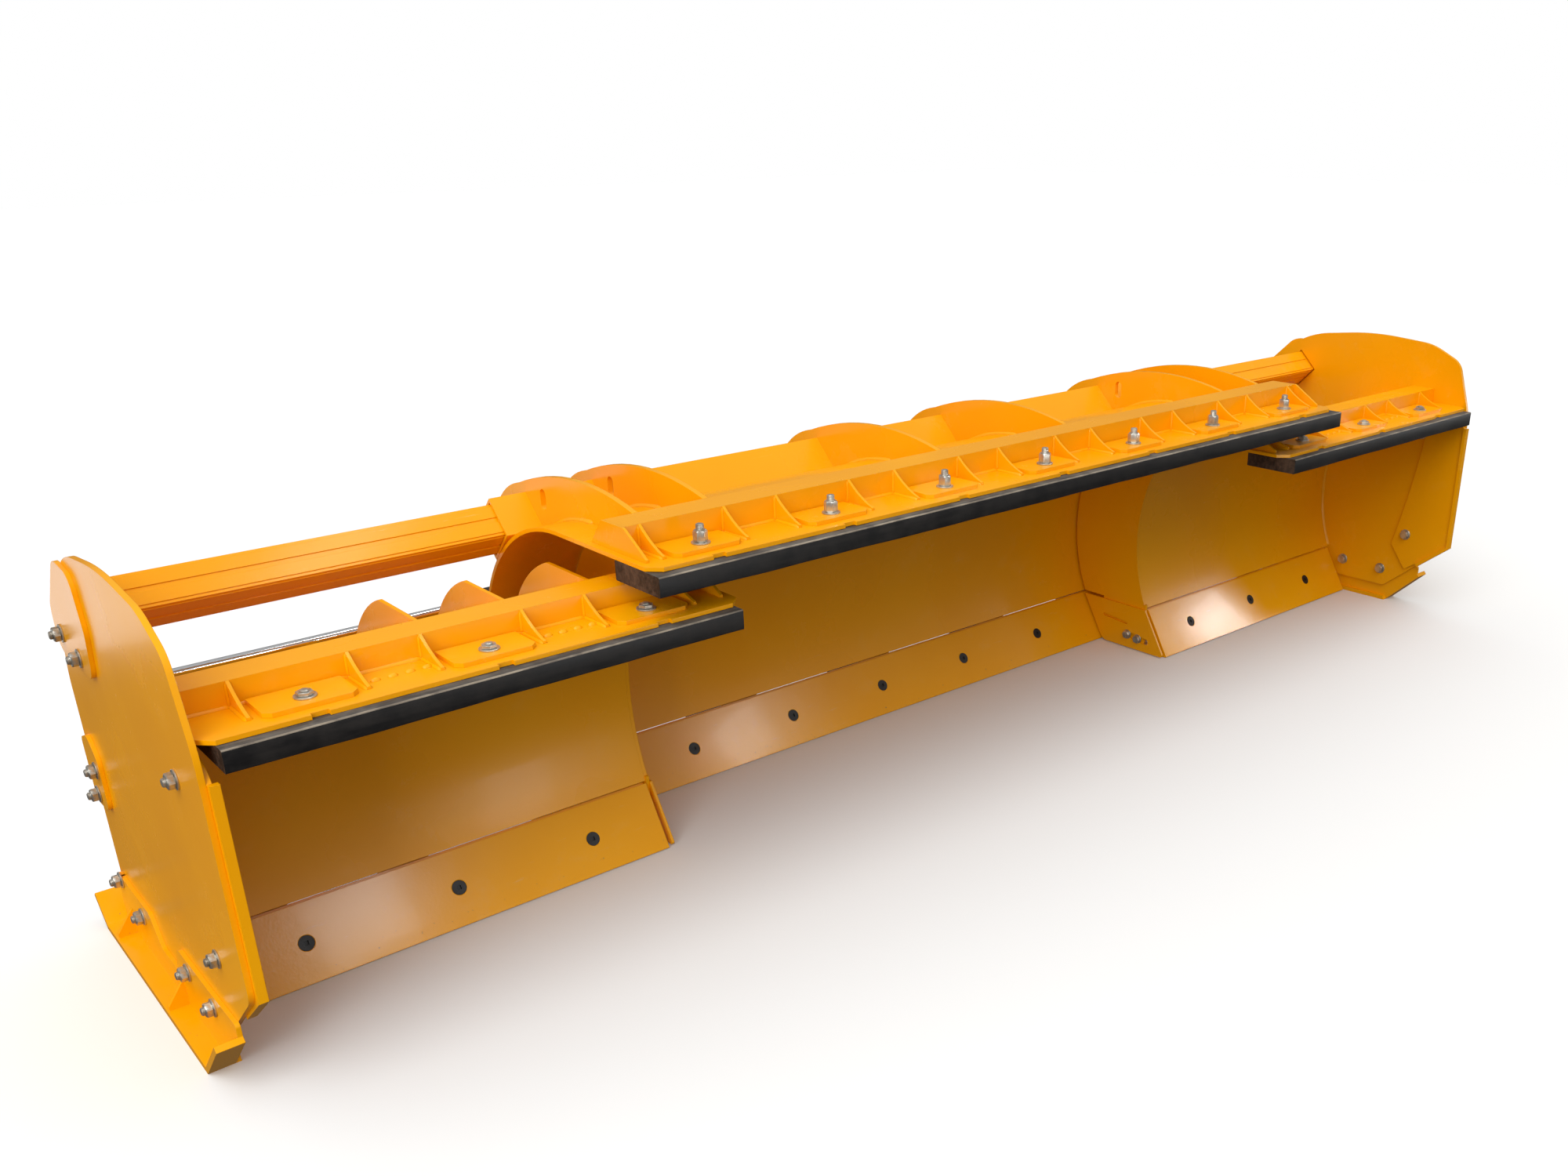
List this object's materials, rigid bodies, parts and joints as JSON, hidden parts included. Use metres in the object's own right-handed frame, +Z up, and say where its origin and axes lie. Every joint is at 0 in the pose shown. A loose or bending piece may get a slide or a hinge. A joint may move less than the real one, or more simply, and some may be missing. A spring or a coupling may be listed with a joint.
{
  "type": "snow pusher",
  "caption": "Wide box snow pusher for a skid steer with a fixed centre, sliding end wings, rubber top bars and tripping edges.",
  "frame": {"origin": "on the ground, midway along the pusher and midway from its front to its rear", "axes": "+X along the pusher, +Y to the rear (towards the machine), +Z up; the open front faces -Y"},
  "size_m": [3.776, 0.908, 0.8479],
  "materials": {
    "yellow_paint": "glossy orange-yellow powder coat",
    "edge_steel": "glossy orange-yellow paint on hardened steel",
    "rubber": "matte moulded rubber with rough cut ends",
    "zinc_bolts": "bright zinc plate",
    "black_bolts": "black oxide",
    "chrome_rod": "polished hard chrome",
    "black_paint": "satin black",
    "spring_steel": "oiled spring steel",
    "pin_steel": "ground bar"
  },
  "bodies": {
    "center": {"beam_sleeve": "yellow_paint", "center_doubler_plates": "yellow_paint", "center_hinge_knuckles": "yellow_paint", "center_hinge_pin": "pin_steel", "center_hood_channel": "yellow_paint", "center_hood_gussets": "yellow_paint", "center_moldboard": "yellow_paint", "center_rear_ribs": "yellow_paint", "center_rubber_bar": "rubber", "center_rubber_bolts": "zinc_bolts", "center_trip_springs": "spring_steel", "cylinder_saddles": "yellow_paint", "left_cylinder_barrel": "black_paint", "quick_attach_plate": "yellow_paint", "quick_attach_ribs": "yellow_paint", "right_cylinder_barrel": "black_paint"},
    "center_trip": {"center_trip_frame": "yellow_paint", "center_cutting_edge": "edge_steel", "center_edge_bolts": "black_bolts"},
    "left_wing": {"left_cylinder_rod": "chrome_rod", "left_end_doublers": "yellow_paint", "left_end_plate": "yellow_paint", "left_plate_bolts": "zinc_bolts", "left_skid_shoe": "yellow_paint", "left_wear_plate": "yellow_paint", "left_wing_back_ribs": "yellow_paint", "left_wing_beam": "yellow_paint", "left_wing_hood_channel": "yellow_paint", "left_wing_hood_gussets": "yellow_paint", "left_wing_inner_plate": "yellow_paint", "left_wing_moldboard": "yellow_paint", "left_wing_rubber_bar": "rubber", "left_wing_rubber_bolts": "zinc_bolts", "left_wing_side_plate": "yellow_paint", "left_wing_trip_hinge": "yellow_paint", "left_wing_trip_springs": "spring_steel"},
    "right_wing": {"right_cylinder_rod": "chrome_rod", "right_end_doublers": "yellow_paint", "right_end_plate": "yellow_paint", "right_plate_bolts": "zinc_bolts", "right_skid_shoe": "yellow_paint", "right_wear_plate": "yellow_paint", "right_wing_back_ribs": "yellow_paint", "right_wing_beam": "yellow_paint", "right_wing_hood_channel": "yellow_paint", "right_wing_hood_gussets": "yellow_paint", "right_wing_inner_plate": "yellow_paint", "right_wing_moldboard": "yellow_paint", "right_wing_rubber_bar": "rubber", "right_wing_rubber_bolts": "zinc_bolts", "right_wing_side_plate": "yellow_paint", "right_wing_trip_hinge": "yellow_paint", "right_wing_trip_springs": "spring_steel"},
    "left_trip": {"left_trip_frame": "yellow_paint", "left_cutting_edge": "edge_steel", "left_edge_bolts": "black_bolts"},
    "right_trip": {"right_trip_frame": "yellow_paint", "right_cutting_edge": "edge_steel", "right_edge_bolts": "black_bolts"}
  },
  "joints": [
    {"name": "left_wing_slide", "type": "slide", "parent": "center", "child": "left_wing", "axis": [1, 0, 0], "range_m": [0, 0.735]},
    {"name": "right_wing_slide", "type": "slide", "parent": "center", "child": "right_wing", "axis": [-1, 0, 0], "range_m": [0, 0.735]},
    {"name": "center_edge_trip", "type": "hinge", "parent": "center", "child": "center_trip", "pos_m": [0, 0.27931, 0.13829], "axis": [1, 0, 0], "range_deg": [0, 45], "stiffness_Nm_per_rad": 300, "springref_deg": -34.38},
    {"name": "left_edge_trip", "type": "hinge", "parent": "left_wing", "child": "left_trip", "pos_m": [0, 0.03531, 0.13829], "axis": [1, 0, 0], "range_deg": [0, 45], "stiffness_Nm_per_rad": 300, "springref_deg": -34.38},
    {"name": "right_edge_trip", "type": "hinge", "parent": "right_wing", "child": "right_trip", "pos_m": [0, 0.03531, 0.13829], "axis": [1, 0, 0], "range_deg": [0, 45], "stiffness_Nm_per_rad": 300, "springref_deg": -34.38}
  ]
}
